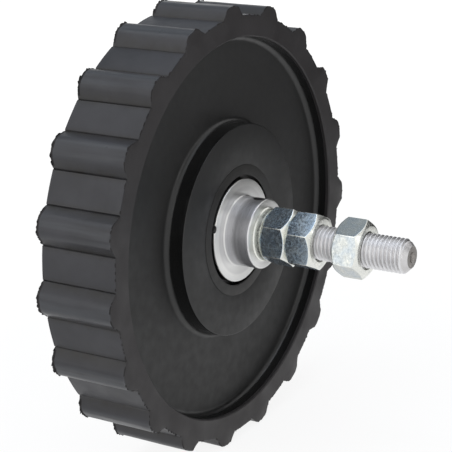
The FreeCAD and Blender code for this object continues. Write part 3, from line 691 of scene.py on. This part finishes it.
def makeNut(name, body, node, rear, turn, flatFinish):
    bm = bmesh.new()
    twist = math.radians(turn)
    front = rear - nuts["height"]
    bore, face, rearFace, sink = nuts["bore"], nuts["face"], nuts["rearFace"], nuts["countersink"]

    def hexRadius(vert):
        within = (whereIs(vert)[1] - twist) % (math.pi / 3) - math.pi / 6
        return nuts["flats"] / 2 / math.cos(within)

    def chamfer(radius, start):
        return max(0.0, radius - start) * math.tan(math.radians(nuts["chamfer"]))

    upright = Matrix.Translation((0, (rear - sink) * mm, 0)) @ Matrix.Rotation(math.pi / 2, 4, "X")
    bmesh.ops.create_circle(bm, segments=nuts["sides"], radius=bore * mm, matrix=upright)
    swing(bm, bm.verts[:], twist)
    loop = bm.edges[:]
    for place in (lambda v: (bore + sink, rear), lambda v: (rearFace, rear),
                  lambda v: (hexRadius(v), rear - chamfer(hexRadius(v), rearFace)),
                  lambda v: (hexRadius(v), front + chamfer(hexRadius(v), face)), lambda v: (face, front),
                  lambda v: (bore + sink, front), lambda v: (bore, front + sink),
                  lambda v: (bore, rear - sink)):
        loop = growLoop(bm, loop, place)
    weld(bm)
    # only the outer edges between flats and chamfers are softened
    corners = [edge for edge in bm.edges
               if len(edge.link_faces) == 2 and edge.calc_face_angle(0) > math.radians(14)
               and min(whereIs(vert)[0] for vert in edge.verts) > face - 0.1]
    bmesh.ops.bevel(bm, geom=corners, offset=nuts["softCorner"] * mm, segments=3, profile=0.5, affect="EDGES",
                    material=-1, clamp_overlap=True)
    bmesh.ops.recalc_face_normals(bm, faces=bm.faces[:])
    # painted highlight: all that faces forward or off the six flats gets the paler zinc
    for side in bm.faces:
        offFlat = (math.degrees(math.atan2(side.normal.z, side.normal.x)) - turn) % 60 - 30
        if side.normal.y < -0.25 or abs(offFlat) > 6:
            side.material_index = 1
    finishPiece(bm, name, body, node, [flatFinish, highlightZinc], 9)


for node, (name, body, rear, turn) in nuts["places"].items():
    makeNut(name, body, node, rear, turn, clampZinc if body == "outer_clamp_nut" else nutZinc)

# Spring lock washer: split ring with a raised rear edge

washerZinc = plainFinish("washerZinc", (0.56, 0.59, 0.54), (0.66, 0.67, 0.62), 0.26, 140, metallic=1.0,
                         depth=0.0008)

washer = {"inner": 8.2, "outer": 12.2, "front": -37.1, "rear": -33.6, "edge": 0.2, "lip": 0.5, "slit": 1.6,
          "steps": 90}


def makeWasher():
    bm = bmesh.new()
    inner, outer, front, rear = washer["inner"], washer["outer"], washer["front"], washer["rear"]
    lip = washer["lip"]
    corners = [(inner, front), (outer, front), (outer, rear - lip * 1.8), (outer + lip, rear - lip * 0.7),
               (outer + lip, rear), (inner, rear)]
    gap = washer["slit"] / outer
    # the section starts on one side of the slit at the bottom and is spun to the other
    verts = [bm.verts.new(onAxle(radius, -math.pi / 2 + gap / 2, along)) for radius, along in corners]
    bm.faces.new(verts)
    bmesh.ops.bevel(bm, geom=verts[1:2], offset=washer["edge"] * mm, segments=3, profile=0.5,
                    affect="VERTICES", material=-1)
    bmesh.ops.spin(bm, geom=bm.faces[:], cent=(0, 0, 0), axis=(0, 1, 0), angle=-(math.tau - gap),
                   steps=washer["steps"], use_merge=False)
    weld(bm)
    bmesh.ops.recalc_face_normals(bm, faces=bm.faces[:])
    # painted highlight: the slanted side of the raised edge gets the paler zinc
    for face in bm.faces:
        if 0.2 < abs(face.normal.y) < 0.98 and face.calc_center_median().y > (front + 1) * mm:
            face.material_index = 1
    finishPiece(bm, "lockWasher", "axle", "spring_lock_washer", [washerZinc, highlightZinc])


makeWasher()

# Dust cap: pressed sheet with soft bends

capSteel = zincFinish("capSteel", zinc["cap"], zinc["capGloss"])

cap = {"crown": 20.4, "crownRear": 23.5, "wallRun": 2.0, "brim": 26.0, "seat": 19.0, "sheet": 1.2,
       "skirt": 23.0, "skirtFront": 16.4, "bend": 0.8, "brimEdge": 0.3, "seatEdge": 0.2, "steps": 96}


def makeCap():
    crown, rear, sheet, seat, bend = cap["crown"], cap["crownRear"], cap["sheet"], cap["seat"], cap["bend"]
    skirt, skirtFront = cap["skirt"], cap["skirtFront"]
    profile = [(0, rear, 0), (crown, rear, bend), (crown + cap["wallRun"], seat + sheet, bend / 2),
               (cap["brim"], seat + sheet, cap["brimEdge"]), (cap["brim"], seat, cap["seatEdge"]),
               (skirt, seat, 0), (skirt, skirtFront, 0), (skirt - sheet, skirtFront, 0),
               (skirt - sheet, seat, 0), (crown - sheet / 2, rear - sheet, bend / 2), (0, rear - sheet, 0)]
    bm = turnedShape(profile, cap["steps"])
    finishPiece(bm, "pressedCap", "roller", "dust_cap", [capSteel])


makeCap()

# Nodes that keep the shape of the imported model: the circlip and all that is in the bearings

springSteel = plainFinish("springSteel", (0.05, 0.05, 0.055), (0.09, 0.085, 0.08), 0.4, 300, metallic=1.0)
raceSteel = plainFinish("raceSteel", (0.60, 0.60, 0.62), (0.52, 0.52, 0.54), 0.14, 200, metallic=1.0,
                        depth=0.002)
ballSteel = plainFinish("ballSteel", (0.70, 0.70, 0.72), (0.64, 0.64, 0.66), 0.08, 150, metallic=1.0,
                        depth=0.001)
sealRubber = plainFinish("sealRubber", (0.012, 0.012, 0.013), (0.022, 0.021, 0.021), 0.55, 400, specular=0.4)
cagePolyamide = plainFinish("cagePolyamide", (0.62, 0.55, 0.40), (0.50, 0.44, 0.32), 0.45, 260)
keptFinishes = {"_circlip": springSteel, "_ring": raceSteel, "_balls": ballSteel, "_seal": sealRubber,
                "_cage": cagePolyamide}
for node, piece in cadNodes.items():
    for ending, finish in keptFinishes.items():
        if node.endswith(ending):
            piece.data.materials.clear()
            piece.data.materials.append(finish)
            print("kept", node, "in", finish.name)

# Studio: pale floor, white surround, soft boxes, and cards for satin and steel to mirror

# cards are (place, size, glow, tint), boxes are (place and size in metres, power, tint)
studio = {"floorLevel": -105.0, "floorSize": 80.0, "floorColour": (0.88, 0.88, 0.88), "surround": 0.38,
          "floorGlow": (0.8, 1.0), "glowFrom": (0.2, 1.2), "glow": 1.1,
          "cards": {"sideCard": ((385, -251, 45), (760, 300), 0.02, (1, 1, 1)),
                    "highCard": ((500, 560, 850), (900, 900), 0.43, (0.90, 1.0, 1.09)),
                    "frontCard": ((120, -700, 560), (420, 420), 0.05, (1, 1, 1))},
          "boxes": {"leftBox": ((-2.2, 0.35, 0.9), 2.6, 18.5, (1, 1, 1)),
                    "topBox": ((0.0, 0.3, 2.4), 2.2, 18.0, (0.90, 0.99, 1.13)),
                    "frontBox": ((0.7, -2.2, 0.8), 1.2, 4.5, (1, 1, 1))}}


def bareMaterial(name):
    material = bpy.data.materials.new(name)
    material.use_nodes = True
    tree = material.node_tree
    tree.nodes.remove(tree.nodes["Principled BSDF"])
    return material, tree, tree.nodes["Material Output"].inputs["Surface"]


def seenDirectly(tree):
    # 1 for rays from the camera, a mirror or glass, 0 for the light that falls on the wheel
    rays = addNode(tree, "ShaderNodeLightPath").outputs
    mirrored = calc(tree, "MAXIMUM", rays["Is Glossy Ray"], rays["Is Transmission Ray"])
    return calc(tree, "MAXIMUM", rays["Is Camera Ray"], mirrored)


def makeFloor():
    bm = bmesh.new()
    bmesh.ops.create_grid(bm, x_segments=2, y_segments=2, size=studio["floorSize"] / 2,
                          matrix=Matrix.Translation((0, 0, studio["floorLevel"] * mm)))
    floor = meshObject(bm, "studioFloor")
    pale, tree, surface = bareMaterial("paleFloor")
    diffuse = addNode(tree, "ShaderNodeBsdfDiffuse", {"Color": (*studio["floorColour"], 1)}).outputs[0]
    glow = addNode(tree, "ShaderNodeEmission", {"Color": (1, 1, 1, 1), "Strength": studio["glow"]}).outputs[0]
    where = addNode(tree, "ShaderNodeTexCoord").outputs["Object"]
    away = addNode(tree, "ShaderNodeVectorMath", {0: where}, operation="LENGTH").outputs["Value"]
    fade = spread(tree, away, *studio["glowFrom"], *studio["floorGlow"])
    amount = calc(tree, "MULTIPLY", seenDirectly(tree), fade)
    mixed = addNode(tree, "ShaderNodeMixShader", {0: amount, 1: diffuse, 2: glow}).outputs[0]
    tree.links.new(mixed, surface)
    floor.data.materials.append(pale)


def makeSurround():
    world = bpy.data.worlds.new("studioSurround")
    bpy.context.scene.world = world
    world.use_nodes = True
    tree = world.node_tree
    back = tree.nodes["Background"]
    back.inputs["Color"].default_value = (1, 1, 1, 1)
    strength = spread(tree, seenDirectly(tree), 0, 1, studio["surround"], 1.0)
    tree.links.new(strength, back.inputs["Strength"])


def makeCard(name, place, size, shade, tint):
    # stands out of the camera's sight and is darker than the surround
    bm = bmesh.new()
    bmesh.ops.create_grid(bm, x_segments=1, y_segments=1, size=0.5)
    bmesh.ops.scale(bm, verts=bm.verts[:], vec=Vector((*size, 1)) * mm)
    facing = Vector(place).to_track_quat("Z", "Y").to_matrix()
    bmesh.ops.rotate(bm, verts=bm.verts[:], cent=(0, 0, 0), matrix=facing)
    bmesh.ops.translate(bm, verts=bm.verts[:], vec=Vector(place) * mm)
    card = meshObject(bm, name)
    card.visible_camera = card.visible_diffuse = card.visible_shadow = False
    felt, tree, surface = bareMaterial(name + "Felt")
    glow = addNode(tree, "ShaderNodeEmission", {"Color": (*tint, 1), "Strength": shade}).outputs[0]
    tree.links.new(glow, surface)
    card.data.materials.append(felt)


def makeSoftBox(name, place, size, power, tint):
    lamp = bpy.data.lights.new(name, "AREA")
    lamp.shape = "SQUARE"
    lamp.size = size
    lamp.energy = power
    lamp.color = tint
    box = addToScene(name, lamp)
    box.location = place
    box.rotation_euler = (-Vector(place)).to_track_quat("-Z", "Y").to_euler()


makeFloor()
makeSurround()
for name, values in studio["cards"].items():
    makeCard(name, *values)
for name, values in studio["boxes"].items():
    makeSoftBox(name, *values)

# Camera: fitted to the photograph

view = {"place": (-615.2, -394.1, 230.8), "turn": (72.237, 1.381, -59.078), "lens": 128.91, "sensor": 36.0,
        "shift": (-0.0289, 0.0080), "nearest": 10.0}


def makeCamera():
    lens = bpy.data.cameras.new("studioCamera")
    lens.lens = view["lens"]
    lens.sensor_width = view["sensor"]
    lens.shift_x, lens.shift_y = view["shift"]
    lens.clip_start = view["nearest"] * mm
    camera = addToScene("studioCamera", lens)
    camera.location = Vector(view["place"]) * mm
    camera.rotation_euler = [math.radians(angle) for angle in view["turn"]]
    bpy.context.scene.camera = camera


makeCamera()
bpy.context.scene.view_settings.view_transform = "Standard"
print("studio and camera set")

bpy.context.view_layer.update()
